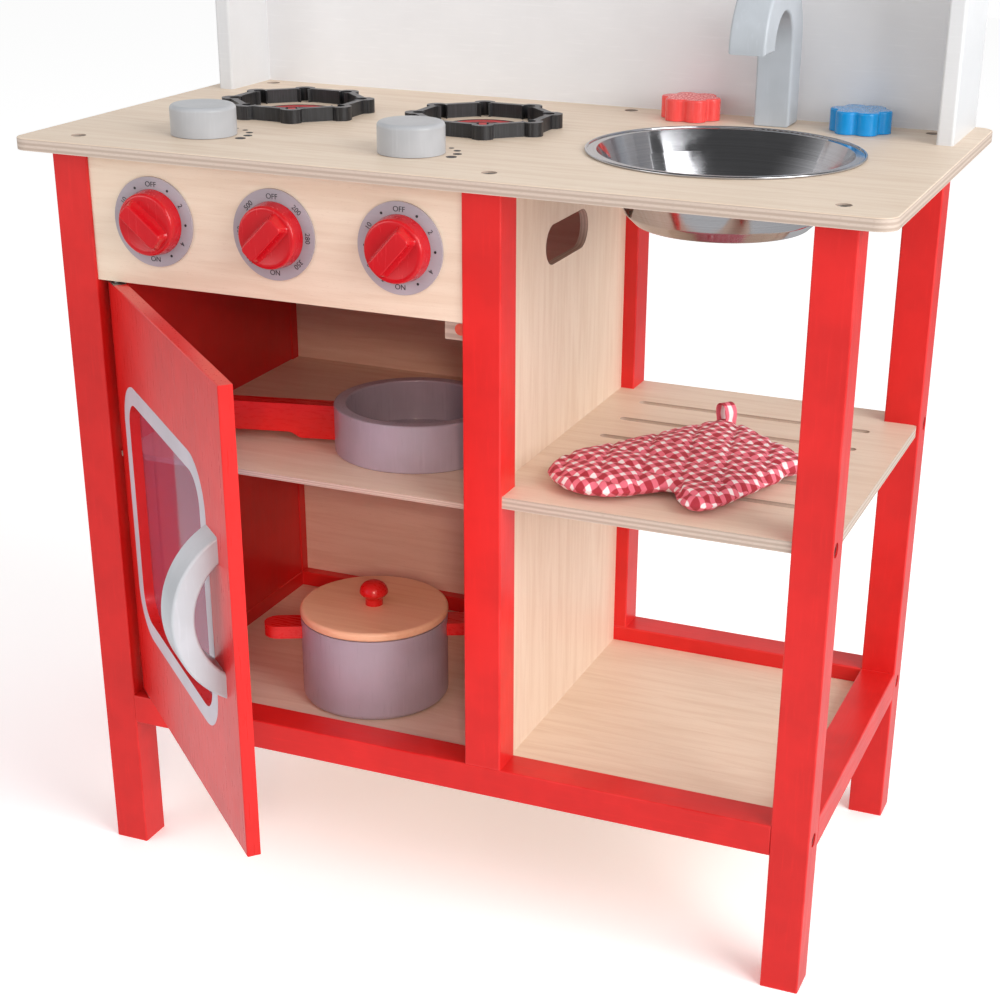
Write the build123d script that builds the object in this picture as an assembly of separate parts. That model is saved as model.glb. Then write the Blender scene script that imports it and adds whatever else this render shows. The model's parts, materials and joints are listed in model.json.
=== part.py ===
from build123d import *
from math import hypot
import os

# A child's play kitchen in painted and natural wood. Sizes are in millimetres,
# X runs to the right, Y to the back and Z up. Pieces are laid out about the
# middle of the leg frame, on the floor. The last step moves all of them by the
# same amount, so that the whole stands centred on its bounding box.

# Leg frame
frame_width = 554.0
frame_depth = 292.0
post_width = 27.0
post_depth = 26.0
post_edge_radius = 1.2
oven_opening_width = 275.0
rail_underside = 105.5
rail_height = 23.0
floor_thickness = 6.0
floor_set_down = 12.5
groove_depth = 6.0
groove_play = 0.1

# Worktop
worktop_top = 543.0
worktop_thickness = 8.0
worktop_front_overhang = 14.0
worktop_rear_overhang = 29.0
worktop_side_overhang = 23.0
worktop_corner_radius = 12.0
worktop_edge_radius = 1.0

# Panels inside the frame
side_panel_thickness = 6.0
side_panel_inset = 1.0
back_panel_thickness = 6.0
back_panel_inset = 10.0
divider_thickness = 6.0
hand_hole_length = 81.1
hand_hole_height = 27.6
hand_hole_drop = 58.1
hand_hole_shift = -2.5
oven_shelf_top = 321.0
oven_shelf_thickness = 4.0
oven_shelf_setback = 11.5
shelf_dado = 2.5

# Slatted shelf
slatted_shelf_top = 333.5
slatted_shelf_thickness = 8.0
slatted_front_setback = 2.5
slatted_rear_setback = 1.0
slatted_side_setback = 2.0
slatted_corner_radius = 3.5
slot_count = 5
slot_pitch = 43.1
slot_width = 7.0
slot_depth = 3.0
slot_side_margin = 15.0
slot_right_margin = 4.0
slot_row_shift = 4.2

# Control panel, dials and oven knobs
control_panel_height = 86.6
control_panel_thickness = 8.0
control_panel_setback = 2.0
dial_radius = 30.0
dial_thickness = 1.6
dial_side_margin = 46.05
dial_row_shift = 2.8
dial_drop = 42.5
knob_radius = 22.0
knob_front_radius = 20.5
knob_height = 10.5
knob_edge_radius = 2.0
knob_dish_radius = 17.5
knob_dish_depth = 1.0
grip_foot_length = 37.0
grip_foot_width = 19.0
grip_length = 32.0
grip_width = 11.5
grip_height = 7.0
grip_hollow = 0.45
grip_end_radius = 3.0
grip_edge_radius = 1.0
knob_turns = {"left": -40.0, "middle": 45.0, "right": 48.0}

# Turning shafts
shaft_radius = 4.0
running_clearance = 0.05
running_gap = 0.3
collar_radius = 8.0
collar_thickness = 3.0

# Magnet catch
catch_width = 17.0
catch_drop = 14.4
catch_depth = 20.0
magnet_radius = 4.0
magnet_depth = 3.0
magnet_from_post = 6.0
catch_clearance = 0.3

# Oven door
door_hinge_gap = 4.0
door_free_gap = 2.2
door_top_gap = 1.4
door_bottom_gap = 3.2
door_thickness = 9.2
door_setback = 1.7
door_edge_radius = 1.0
door_rest_angle = 43.0
pivot_inset = 8.0
door_swing_clearance = 1.0
window_left = 31.0
window_right = 59.8
window_rise = 74.3
window_drop = 77.0
window_radius = 20.0
pane_lap = 6.0
pane_thickness = 2.0
handle_reach = 32.0
handle_half_foot = 55.0
handle_bar = 15.0
handle_width = 26.0
handle_from_free_edge = 35.8
handle_rise = 158.3
handle_edge_radius = 2.0
handle_screw_radius = 2.0
handle_screw_length = 16.0
handle_screw_head_radius = 4.0
handle_screw_head = 2.2
pivot_leaf = 18.0
pivot_plate = 0.8
pivot_pin_radius = 2.0
pivot_pin_engagement = 5.0
strike_radius = 5.5
strike_thickness = 0.8
strike_edge_margin = 1.8

# Hob knobs and pan supports
hob_knob_side_margin = 59.5
hob_knob_setback = 54.0
hob_knob_radius = 22.4
hob_knob_height = 20.0
hob_knob_edge_radius = 3.0
support_shift_x = 7.5
support_shift_y = 19.4
support_side_margin = 63.9
support_lug_circle = 48.0
support_lugs = 8
support_lug_radius = 7.4
support_pocket_radius = 4.4
support_pocket_shift = 2.6
support_bar = 5.5
support_height = 9.5
support_rib = 1.6
support_rib_spread = 5.6

# Sink, taps and faucet
sink_side_margin = 5.5
sink_shift_y = -1.8
sink_rim_band = 7.0
sink_rim_roll = 1.0
sink_sheet = 1.0
sink_step_inset = 14.5
sink_step_depth = 14.0
sink_low_inset = 27.5
sink_low_depth = 40.0
sink_floor_inset = 35.5
sink_depth = 47.5
sink_bend_radius = 4.0
sink_cutout_clearance = 1.5
tap_side_margin = 36.4
tap_from_splash = 28.0
tap_height = 15.3
tap_radius = 22.0
tap_lobes = 6
tap_lobe_radius = 8.0
tap_valley_radius = 2.5
tap_edge_radius = 1.4
right_bay_shift = 1.0
faucet_width = 26.0
faucet_depth = 25.0
faucet_splash_gap = 12.0
faucet_reach_radius = 24.0
faucet_spout_height = 57.0
faucet_edge_radius = 2.0

# Back boards above the worktop
back_rise = 237.0
splash_thickness = 12.0
wing_thickness = 12.0
wing_depth = 86.5
wing_side_margin = 14.0
wing_rear_margin = 0.5
wing_corner_radius = 40.0
wing_edge_radius = 2.0
top_shelf_thickness = 12.0
top_shelf_depth = 50.0

# Pot and pan
pot_shift_x = 15.1
pot_shift_y = -41.1
pot_radius = 56.2
pot_height = 66.0
pot_wall = 3.5
pot_floor = 4.0
pot_corner_radius = 5.0
pot_handle_turn = 26.0
pot_handle_reach = 28.0
pot_handle_width = 22.0
pot_handle_thickness = 10.0
pot_handle_drop = 6.0
lid_radius = 56.7
lid_thickness = 7.0
lid_edge_radius = 2.5
lid_plug = 3.0
lid_plug_clearance = 0.5
lid_gap = 0.2
lid_knob_radius = 11.0
lid_knob_stem_radius = 6.75
lid_knob_stem = 7.0
lid_knob_dome = 12.0
pan_shift_x = 53.9
pan_shift_y = -41.0
pan_radius = 59.5
pan_wall = 9.0
pan_height = 35.0
pan_floor = 5.0
pan_edge_radius = 1.2
pan_handle_turn = 13.5
pan_handle_length = 100.0
pan_handle_thickness = 13.0
pan_handle_drop = 5.5
pan_handle_root = 25.5
pan_handle_grip = 21.3
pan_handle_root_length = 24.0
pan_handle_step = 12.0
pan_handle_end_radius = 9.0
pan_handle_seat = 4.0

# Oven mitt
mitt_shift_x = 41.8
mitt_shift_y = 11.4
mitt_turn = 229.7
mitt_length = 175.0
mitt_finger_radius = 41.0
mitt_cuff_width = 112.0
mitt_cuff_corner = 9.0
mitt_thumb_radius = 15.0
mitt_thumb_along = 106.0
mitt_thumb_out = 73.0
mitt_web_along = 94.0
mitt_web_out = 48.0
mitt_ball_along = 40.0
mitt_ball_out = 49.0
mitt_crotch_radius = 5.0
mitt_thickness = 19.0
mitt_edge_radius = 6.0
mitt_gap = 0.3
mitt_loop_inset = 9.0
mitt_loop_length = 18.0
mitt_loop_width = 14.0
mitt_loop_strap = 2.5
mitt_loop_band = 8.0

# Fasteners
bolt_head_radius = 4.8
bolt_head_height = 3.5
bolt_head_recess = 1.0
bolt_head_clearance = 0.3
bolt_shank_radius = 3.0
worktop_bolt_length = 40.0
frame_bolt_length = 45.0
socket_radius = 2.6
socket_depth = 2.0
shelf_screw_rise = 3.5
shelf_screw_setback = 8.0
shelf_screw_length = 45.0

# Two points closer than this are one point
touching = 0.001

# Places that follow from the frame
left = -frame_width / 2
right = frame_width / 2
front = -frame_depth / 2
rear = frame_depth / 2
post_inner_left = left + post_width
post_inner_right = right - post_width
post_inner_front = front + post_depth
post_inner_rear = rear - post_depth
middle_left = post_inner_left + oven_opening_width
middle_right = middle_left + post_width
rail_top = rail_underside + rail_height
floor_top = rail_top - floor_set_down
worktop_under = worktop_top - worktop_thickness
panel_bottom = rail_top - groove_depth
side_panel_inner = post_inner_left - side_panel_inset
side_panel_outer = side_panel_inner - side_panel_thickness
back_panel_front = post_inner_rear + back_panel_inset
back_panel_rear = back_panel_front + back_panel_thickness
divider_left = middle_left + (post_width - divider_thickness) / 2
divider_right = divider_left + divider_thickness
oven_middle = (post_inner_left + middle_left) / 2
right_bay_width = post_inner_right - middle_right
right_bay_middle = (middle_right + post_inner_right) / 2 + right_bay_shift
control_bottom = worktop_under - control_panel_height
control_front = front + control_panel_setback
control_rear = control_front + control_panel_thickness
dial_pitch = oven_opening_width / 2 - dial_side_margin
dial_centres = [oven_middle + dial_row_shift + step * dial_pitch for step in (-1, 0, 1)]
dial_z = worktop_under - dial_drop
post_columns = {"left": left, "middle": middle_left, "right": post_inner_right}
post_rows = {"front": front, "rear": post_inner_rear}

# Places that follow from the closed door
door_left = post_inner_left + door_hinge_gap
door_width = oven_opening_width - door_hinge_gap - door_free_gap
door_bottom = rail_top + door_bottom_gap
door_top = control_bottom - door_top_gap
window_width = door_width - window_left - window_right
window_height = door_top - door_bottom - window_rise - window_drop
door_front = front + door_setback
door_rear = door_front + door_thickness
pivot_x = door_left + pivot_inset
pivot_y = (door_front + door_rear) / 2
catch_front = door_rear + catch_clearance
magnet_x = middle_left - magnet_from_post
magnet_z = control_bottom - catch_drop / 2

# Places on the worktop and the shelves
hob_knob_y = front + hob_knob_setback
hob_knob_spread = oven_opening_width / 2 - hob_knob_side_margin
support_spread = oven_opening_width / 2 - support_side_margin
sink_rim_radius = right_bay_width / 2 - sink_side_margin
tap_y = rear - tap_from_splash
tap_spread = right_bay_width / 2 - tap_side_margin
faucet_foot_front = rear - faucet_splash_gap - faucet_depth
pot_x = oven_middle + pot_shift_x
pan_x = oven_middle + pan_shift_x
mitt_x = right_bay_middle + mitt_shift_x


def block(x0, x1, y0, y1, z0, z1):
    """A board between two opposite corners."""
    middle = Pos((x0 + x1) / 2, (y0 + y1) / 2, (z0 + z1) / 2)
    return middle * Box(x1 - x0, y1 - y0, z1 - z0)


def grown(x0, x1, y0, y1, z0, z1, play=groove_play):
    """The groove for a board, larger by the play all round."""
    return block(x0 - play, x1 + play, y0 - play, y1 + play, z0 - play, z1 + play)


def rod(radius, start, length, toward):
    """A round bar that starts at a point and runs along one direction."""
    where = Plane(origin=start, z_dir=toward)
    return where * Cylinder(radius, length, align=(Align.CENTER, Align.CENTER, Align.MIN))


def bolt(start, length, toward):
    """A bolt with a round head and a hexagon socket; start is the head's face."""
    place = Plane(origin=start, z_dir=toward)
    low = (Align.CENTER, Align.CENTER, Align.MIN)
    body = Cylinder(bolt_head_radius, bolt_head_height, align=low)
    body += Cylinder(bolt_shank_radius, length, align=low)
    body -= extrude(RegularPolygon(socket_radius, 6), socket_depth)
    return place * body


def bolt_hole(start, length, toward):
    """The recess and bore that a bolt sits in; start is the head's face."""
    back = Vector(*toward) * bolt_head_recess
    mouth = Vector(*start) - back
    sunk = bolt_head_height + bolt_head_recess
    hole = rod(bolt_head_radius + bolt_head_clearance, mouth, sunk, toward)
    return hole + rod(bolt_shank_radius, start, length, toward)


def group(solids):
    """Separate solids that share one node."""
    return Compound(list(solids))


def worktop_bolt_places():
    """Head faces of the bolts that hold the worktop on the six posts."""
    for x in post_columns.values():
        for y in post_rows.values():
            yield x + post_width / 2, y + post_depth / 2, worktop_top - bolt_head_recess


def frame_bolt_places():
    """Head faces and directions of the bolts through the outer posts' sides."""
    z = rail_underside + rail_height / 2
    for y in post_rows.values():
        yield (left + bolt_head_recess, y + post_depth / 2, z), (1, 0, 0)
        yield (right - bolt_head_recess, y + post_depth / 2, z), (-1, 0, 0)


def shelf_screw_places():
    """Head faces of the screws that carry the slatted shelf's right end."""
    z = slatted_shelf_top - shelf_screw_rise
    for y in (front + shelf_screw_setback, rear - shelf_screw_setback):
        yield right - bolt_head_recess, y, z


def side_panel_board(make):
    """The left side panel, or its groove when made by grown."""
    return make(side_panel_outer, side_panel_inner, post_inner_front - groove_depth,
                post_inner_rear + groove_depth, panel_bottom, worktop_under)


def back_panel_board(make):
    """The oven's back panel, or its groove when made by grown."""
    return make(post_inner_left - groove_depth, middle_left + groove_depth,
                back_panel_front, back_panel_rear, panel_bottom, worktop_under)


def floor_board(make):
    """The bottom panel, or its groove when made by grown."""
    return make(post_inner_left - groove_depth, post_inner_right + groove_depth,
                post_inner_front - groove_depth, post_inner_rear + groove_depth,
                floor_top - floor_thickness, floor_top)


def oven_shelf_board(play=0.0):
    """The oven's shelf: between the posts in front, dadoed into panels behind."""
    z0 = oven_shelf_top - oven_shelf_thickness
    front_part = block(post_inner_left, middle_left, front + oven_shelf_setback,
                       post_inner_front, z0 - play, oven_shelf_top + play)
    rear_part = block(side_panel_inner - shelf_dado - play, divider_left + shelf_dado + play,
                      post_inner_front, post_inner_rear, z0 - play, oven_shelf_top + play)
    tongue = block(post_inner_left, middle_left, post_inner_rear,
                   back_panel_front + shelf_dado + play, z0 - play, oven_shelf_top + play)
    swing = hypot(pivot_inset, door_thickness / 2) + door_swing_clearance
    relief = rod(swing, (pivot_x, pivot_y, z0 - play),
                 oven_shelf_thickness + 2 * play, (0, 0, 1))
    return front_part + rear_part + tongue - relief


def slatted_shelf_board():
    """The right-hand shelf's outline, notched round the posts."""
    z0 = slatted_shelf_top - slatted_shelf_thickness
    outline = block(middle_right, post_inner_right, front + slatted_front_setback,
                    rear - slatted_rear_setback, z0, slatted_shelf_top)
    tongue = block(post_inner_right, right - slatted_side_setback, post_inner_front,
                   post_inner_rear, z0, slatted_shelf_top)
    inlet = block(divider_right, middle_right, post_inner_front, post_inner_rear,
                  z0, slatted_shelf_top)
    return outline + tongue + inlet


def posts():
    """Four legs and two middle posts that stand on the bottom rails."""
    side_groove = side_panel_board(grown)
    back_groove = back_panel_board(grown)
    made = {}
    for row, y in post_rows.items():
        for column, x in post_columns.items():
            foot = rail_top if column == "middle" else 0.0
            body = block(x, x + post_width, y, y + post_depth, foot, worktop_under)
            body = fillet(body.edges().filter_by(Axis.Z), post_edge_radius)
            body -= side_groove
            body -= back_groove
            for place in worktop_bolt_places():
                body -= bolt_hole(place, worktop_bolt_length, (0, 0, -1))
            for place, toward in frame_bolt_places():
                body -= bolt_hole(place, frame_bolt_length, toward)
            for place in shelf_screw_places():
                body -= bolt_hole(place, shelf_screw_length, (-1, 0, 0))
            made[f"post_{row}_{column}"] = body
    return made


def rails():
    """Bottom rails between the legs, grooved for the floor and the panels."""
    z0, z1 = rail_underside, rail_top
    made = {
        "rail_front": block(post_inner_left, post_inner_right, front, post_inner_front, z0, z1),
        "rail_rear": block(post_inner_left, post_inner_right, post_inner_rear, rear, z0, z1),
        "rail_left": block(left, post_inner_left, post_inner_front, post_inner_rear, z0, z1),
        "rail_right": block(post_inner_right, right, post_inner_front, post_inner_rear, z0, z1),
    }
    grooves = floor_board(grown) + side_panel_board(grown) + back_panel_board(grown)
    for name, body in made.items():
        length = Axis.X if name in ("rail_front", "rail_rear") else Axis.Y
        body = fillet(body.edges().filter_by(length), post_edge_radius)
        body -= grooves
        for place, toward in frame_bolt_places():
            body -= bolt_hole(place, frame_bolt_length, toward)
        made[name] = body
    hole = rod(pivot_pin_radius + running_clearance, (pivot_x, pivot_y, rail_top),
               pivot_pin_engagement + running_gap, (0, 0, -1))
    made["rail_front"] -= hole
    return made


def floor_panel():
    """The bottom panel, with its corners cut away at the four legs."""
    body = floor_board(block)
    for x in (left, post_inner_right):
        for y in (front, post_inner_rear):
            body -= grown(x, x + post_width, y, y + post_depth, 0.0, rail_top)
    return body


def left_side_panel():
    """The panel at the oven's left, with a dado for the shelf."""
    return side_panel_board(block) - oven_shelf_board(groove_play)


def back_panel():
    """The panel behind the oven, with a dado for the shelf."""
    return back_panel_board(block) - oven_shelf_board(groove_play)


def divider_panel():
    """The upright between oven and right-hand shelves, with a hand hole."""
    body = block(divider_left, divider_right, post_inner_front, post_inner_rear,
                 floor_top, worktop_under)
    body -= oven_shelf_board(groove_play)
    hole = extrude(SlotOverall(hand_hole_length, hand_hole_height), divider_thickness, both=True)
    middle = Plane(origin=(divider_right, hand_hole_shift, worktop_under - hand_hole_drop),
                   x_dir=(0, 1, 0), z_dir=(1, 0, 0))
    return body - middle * hole


def slatted_shelf():
    """The right-hand shelf with five round-ended grooves in its top."""
    body = slatted_shelf_board()
    upright = body.edges().filter_by(Axis.Z)
    corners = upright.sort_by(Axis.X)[-2:]
    body = fillet(corners, slatted_corner_radius)
    length = (post_inner_right - slot_right_margin) - (middle_right + slot_side_margin)
    middle_x = middle_right + slot_side_margin + length / 2
    for step in range(slot_count):
        y = slot_row_shift + (step - (slot_count - 1) / 2) * slot_pitch
        cut = extrude(SlotOverall(length, slot_width), -slot_depth)
        body -= Pos(middle_x, y, slatted_shelf_top) * cut
    for place in shelf_screw_places():
        body -= bolt_hole(place, shelf_screw_length, (-1, 0, 0))
    return body


def control_panel():
    """The front board that carries the three oven knobs."""
    body = block(post_inner_left, middle_left, control_front, control_rear,
                 control_bottom, worktop_under)
    for x in dial_centres:
        body -= rod(shaft_radius + running_clearance, (x, control_front, dial_z),
                    control_panel_thickness, (0, 1, 0))
    body -= rod(pivot_pin_radius + running_clearance, (pivot_x, pivot_y, control_bottom),
                pivot_pin_engagement + running_gap, (0, 0, 1))
    return body


def dials():
    """Three flat discs on the control panel, one behind each knob."""
    made = {}
    for name, x in zip(knob_turns, dial_centres):
        start = (x, control_front, dial_z)
        disc = rod(dial_radius, start, dial_thickness, (0, -1, 0))
        hole = rod(shaft_radius + running_gap, start, dial_thickness, (0, -1, 0))
        made[f"dial_{name}"] = disc - hole
    return made


def turning_shaft(through):
    """A shaft below a knob, with a collar behind what it turns in."""
    low = (Align.CENTER, Align.CENTER, Align.MAX)
    shaft = Cylinder(shaft_radius, through + 2 * running_gap + collar_thickness, align=low)
    collar = Cylinder(collar_radius, collar_thickness, align=low)
    return shaft + Pos(0, 0, -through - 2 * running_gap) * collar


def grip_outline(length, width):
    """The grip's outline at one height: a bar with rounded corners."""
    return RectangleRounded(length, width, grip_end_radius)


def oven_knob():
    """A dished disc with a grip bar that widens to its foot, its back on Z = 0."""
    low = (Align.CENTER, Align.CENTER, Align.MIN)
    disc = Cone(knob_radius, knob_front_radius, knob_height, align=low)
    disc = fillet(disc.edges().sort_by(Axis.Z)[-1], knob_edge_radius)
    ball = (knob_dish_radius ** 2 + knob_dish_depth ** 2) / (2 * knob_dish_depth)
    disc -= Pos(0, 0, knob_height - knob_dish_depth + ball) * Sphere(ball)
    foot_z = knob_height - knob_dish_depth
    top_z = knob_height + grip_height
    sections = [
        Pos(0, 0, foot_z - knob_dish_depth) * grip_outline(grip_foot_length, grip_foot_width),
        Pos(0, 0, foot_z + grip_hollow * grip_height) * grip_outline(
            (grip_foot_length + 2 * grip_length) / 3, (grip_foot_width + 3 * grip_width) / 4),
        Pos(0, 0, top_z) * grip_outline(grip_length, grip_width),
    ]
    grip = loft(sections)
    grip = fillet(grip.faces().sort_by(Axis.Z)[-1].edges(), grip_edge_radius)
    return disc + grip


def oven_knobs():
    """Three knobs on the control panel, each turned as it stands."""
    made = {}
    through = control_panel_thickness + dial_thickness
    for (name, turn), x in zip(knob_turns.items(), dial_centres):
        body = Rot(0, 0, turn) * oven_knob() + turning_shaft(through)
        back = control_front - dial_thickness - running_gap
        made[f"oven_knob_{name}"] = Pos(x, back, dial_z) * Rot(90, 0, 0) * body
    return made


def catch():
    """The block beside the middle post and the round magnet in its face."""
    body = block(middle_left - catch_width, middle_left, catch_front, catch_front + catch_depth,
                 control_bottom - catch_drop, control_bottom)
    face = (magnet_x, catch_front, magnet_z)
    magnet = rod(magnet_radius, face, magnet_depth, (0, 1, 0))
    return {"catch_block": body - magnet, "catch_magnet": magnet}


def in_door(x, y):
    """A closed-door place: along the width from the hinge edge, back from the face."""
    return door_left + x, door_front + y


def window_prism(margin, y0, y1):
    """The window's rounded outline grown by a margin, between two depths."""
    outline = RectangleRounded(window_width + 2 * margin, window_height + 2 * margin,
                               window_radius + margin)
    x, y = in_door(window_left + window_width / 2, y1)
    z = door_bottom + window_rise + window_height / 2
    face = Plane(origin=(x, y, z), x_dir=(1, 0, 0), z_dir=(0, -1, 0))
    return face * extrude(outline, y1 - y0)


def handle_screw_places():
    """Where the handle's two screws enter, on the door's inner face."""
    radius = (handle_half_foot ** 2 + handle_reach ** 2) / (2 * handle_reach)
    sink = radius - handle_reach
    inner_foot = ((radius - handle_bar) ** 2 - sink ** 2) ** 0.5
    offset = (handle_half_foot + inner_foot) / 2
    x, y = in_door(door_width - handle_from_free_edge, door_thickness)
    for side in (-1, 1):
        yield x, y, door_bottom + handle_rise + side * offset


def door_handle():
    """Half of a flat ring that stands out from the door's face."""
    radius = (handle_half_foot ** 2 + handle_reach ** 2) / (2 * handle_reach)
    ring = Circle(radius) - Circle(radius - handle_bar)
    keep = Pos(0, radius - handle_reach + radius) * Rectangle(4 * radius, 2 * radius)
    bow = extrude(ring & keep, handle_width / 2, both=True)
    rims = bow.edges().filter_by(GeomType.CIRCLE)
    bow = fillet(rims, handle_edge_radius)
    x, y = in_door(door_width - handle_from_free_edge, radius - handle_reach)
    place = Plane(origin=(x, y, door_bottom + handle_rise), x_dir=(0, 0, 1), z_dir=(1, 0, 0))
    body = place * bow
    for start in handle_screw_places():
        body -= handle_screw(start, False)
    return body


def handle_screw(start, head=True):
    """A screw through the door into the handle's foot."""
    shank = rod(handle_screw_radius, start, handle_screw_length, (0, -1, 0))
    if not head:
        return shank
    return shank + rod(handle_screw_head_radius, start, handle_screw_head, (0, -1, 0))


def pivot_plates():
    """The corner plates with their pins, one on top and one below."""
    x0, x1 = door_left, door_left + pivot_leaf
    made = {}
    for name, level, inward in (("top", door_top, -1), ("bottom", door_bottom, 1)):
        flat_z = sorted((level, level + inward * pivot_plate))
        leaf_z = sorted((level, level + inward * pivot_leaf))
        plate = block(x0, x1, door_front, door_rear, *flat_z)
        plate += block(x0, x0 + pivot_plate, door_front, door_rear, *leaf_z)
        gap = door_top_gap if name == "top" else door_bottom_gap
        plate += rod(pivot_pin_radius, (pivot_x, pivot_y, level),
                     gap + pivot_pin_engagement, (0, 0, -inward))
        made[f"door_pivot_{name}"] = plate
    return made


def strike_plate():
    """The round plate that meets the magnet, let into the inner face."""
    x, y = in_door(door_width - strike_edge_margin - strike_radius, door_thickness)
    return rod(strike_radius, (x, y, magnet_z), strike_thickness, (0, -1, 0))


def door_panel(plates, strike):
    """The door board with its window, rebate and recesses."""
    body = block(door_left, door_left + door_width, door_front, door_rear,
                 door_bottom, door_top)
    front_edges = body.faces().sort_by(Axis.Y)[0].edges()
    body = fillet(front_edges, door_edge_radius)
    body -= window_prism(0.0, 0.0, door_thickness)
    body -= window_prism(pane_lap, door_thickness - pane_thickness, door_thickness)
    for start in handle_screw_places():
        body -= handle_screw(start)
    for plate in plates:
        body -= plate
    return body - strike


def door():
    """Every piece that swings, first closed and then turned to its rest angle."""
    plates = pivot_plates()
    strike = strike_plate()
    made = {"door_panel": door_panel(plates.values(), strike)}
    made["door_pane"] = window_prism(pane_lap - groove_play, door_thickness - pane_thickness,
                                     door_thickness)
    made["door_handle"] = door_handle()
    made["door_screws"] = group(handle_screw(start) for start in handle_screw_places())
    made.update(plates)
    made["strike_plate"] = strike
    hinge = Axis((pivot_x, pivot_y, 0), (0, 0, 1))
    return {name: body.rotate(hinge, -door_rest_angle) for name, body in made.items()}


def sink_bowl():
    """A pressed steel bowl whose flat rim lies on the worktop."""
    steps = [
        (sink_rim_radius - sink_rim_band, 0.0),
        (sink_rim_radius - sink_step_inset, sink_step_depth),
        (sink_rim_radius - sink_low_inset, sink_low_depth),
        (sink_rim_radius - sink_floor_inset, sink_depth),
    ]
    rim = sink_rim_radius - sink_rim_roll
    outside = [(rim, 0.0)] + [(radius, -depth) for radius, depth in steps]
    outside.append((0.0, -sink_depth))
    inside = [(rim, sink_sheet)]
    inside += [(radius - sink_sheet, sink_sheet - depth) for radius, depth in steps]
    inside.append((0.0, sink_sheet - sink_depth))
    section = make_face(Polyline(outside + inside[::-1], close=True))
    low_radius = sink_rim_radius - sink_low_inset
    bends = [v for v in section.vertices() if sink_sheet < v.X < low_radius + sink_sheet]
    section = fillet(bends, sink_bend_radius)
    section += Pos(rim, sink_rim_roll) * Circle(sink_rim_roll)
    bowl = revolve(Plane.XZ * section, Axis.Z)
    return Pos(right_bay_middle, sink_shift_y, worktop_top) * bowl


def hob_knob():
    """A round grey knob, its foot on the plane Z = 0."""
    low = (Align.CENTER, Align.CENTER, Align.MIN)
    body = Cylinder(hob_knob_radius, hob_knob_height, align=low)
    return fillet(body.edges().sort_by(Axis.Z)[-1], hob_knob_edge_radius)


def tap():
    """A star-shaped tap handle, its foot on the plane Z = 0."""
    outline = Circle(tap_radius - tap_lobe_radius)
    for step in range(tap_lobes):
        turn = Rot(0, 0, step * 360 / tap_lobes)
        outline += turn * Pos(tap_radius - tap_lobe_radius, 0) * Circle(tap_lobe_radius)
    outline = fillet(outline.vertices(), tap_valley_radius)
    body = extrude(outline, tap_height)
    return fillet(body.faces().sort_by(Axis.Z)[-1].edges(), tap_edge_radius)


def turning_pieces():
    """Hob knobs and taps on the worktop, each on its own shaft."""
    lift = worktop_top + running_gap
    places = {
        "hob_knob_left": (oven_middle - hob_knob_spread, hob_knob_y, hob_knob),
        "hob_knob_right": (oven_middle + hob_knob_spread, hob_knob_y, hob_knob),
        "tap_hot": (right_bay_middle - tap_spread, tap_y, tap),
        "tap_cold": (right_bay_middle + tap_spread, tap_y, tap),
    }
    made = {}
    for name, (x, y, shape) in places.items():
        made[name] = Pos(x, y, lift) * (shape() + turning_shaft(worktop_thickness))
    return made


def faucet_pivot():
    """The faucet's axis, in the middle of its foot."""
    return right_bay_middle, faucet_foot_front + faucet_depth / 2


def faucet():
    """A cane-shaped board: an upright that bends forward to the spout."""
    x, y = faucet_pivot()
    foot = worktop_top + running_gap
    bend_z = foot + faucet_spout_height
    bend_y = faucet_foot_front - faucet_reach_radius
    outer = faucet_reach_radius + faucet_depth
    ring = Pos(bend_y, bend_z) * (Circle(outer) - Circle(faucet_reach_radius))
    ring &= Pos(bend_y, bend_z + outer) * Rectangle(2 * outer, 2 * outer)
    column = Pos(y, (foot + bend_z) / 2) * Rectangle(faucet_depth, bend_z - foot)
    side = Plane(origin=(x, 0, 0), x_dir=(0, 1, 0), z_dir=(1, 0, 0))
    body = side * extrude(ring + column, faucet_width / 2, both=True)
    faces = body.faces().sort_by(Axis.X)
    body = fillet(faces[0].edges() + faces[-1].edges(), faucet_edge_radius)
    return body + Pos(x, y, foot) * turning_shaft(worktop_thickness)


def worktop():
    """The top board with its cut-outs for sink, shafts and bolts."""
    board = block(left - worktop_side_overhang, right + worktop_side_overhang,
                  front - worktop_front_overhang, rear + worktop_rear_overhang,
                  worktop_under, worktop_top)
    board = fillet(board.edges().filter_by(Axis.Z), worktop_corner_radius)
    board = fillet(board.faces().sort_by(Axis.Z)[-1].edges(), worktop_edge_radius)
    cutout = sink_rim_radius - sink_rim_band + sink_cutout_clearance
    board -= rod(cutout, (right_bay_middle, sink_shift_y, worktop_top), worktop_thickness, (0, 0, -1))
    shafts = [(oven_middle + side * hob_knob_spread, hob_knob_y) for side in (-1, 1)]
    shafts += [(right_bay_middle + side * tap_spread, tap_y) for side in (-1, 1)]
    shafts.append(faucet_pivot())
    for x, y in shafts:
        board -= rod(shaft_radius + running_clearance, (x, y, worktop_top),
                     worktop_thickness, (0, 0, -1))
    for place in worktop_bolt_places():
        board -= bolt_hole(place, worktop_bolt_length, (0, 0, -1))
    return board


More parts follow.
